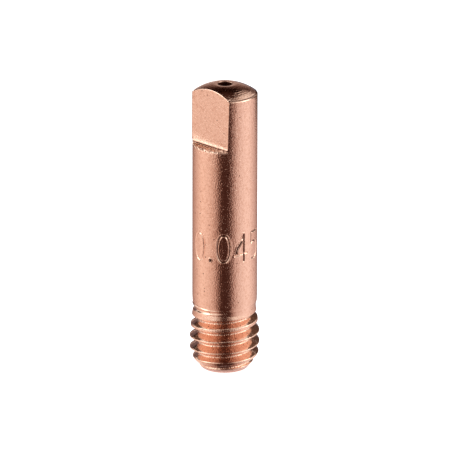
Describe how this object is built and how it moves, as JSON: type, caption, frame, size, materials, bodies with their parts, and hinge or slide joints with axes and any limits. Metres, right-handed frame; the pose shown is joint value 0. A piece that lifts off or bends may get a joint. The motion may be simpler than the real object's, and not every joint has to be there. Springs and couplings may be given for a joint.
{
  "type": "welding contact tip",
  "caption": "Copper contact tip for a wire-feed welding torch: a round body with a crowned wire outlet, a spanner flat and a threaded end.",
  "frame": {"origin": "middle of the threaded end, on which the tip stands", "axes": "+Z along the wire bore towards the crown where the wire leaves, -Y out of the spanner flat"},
  "size_m": [0.0058, 0.0058, 0.025],
  "materials": {
    "bare_copper": "bare turned copper, satin, with fine specks; the milled flat is more matt"
  },
  "bodies": {
    "root": {"contact_tip": "bare_copper"}
  },
  "joints": []
}
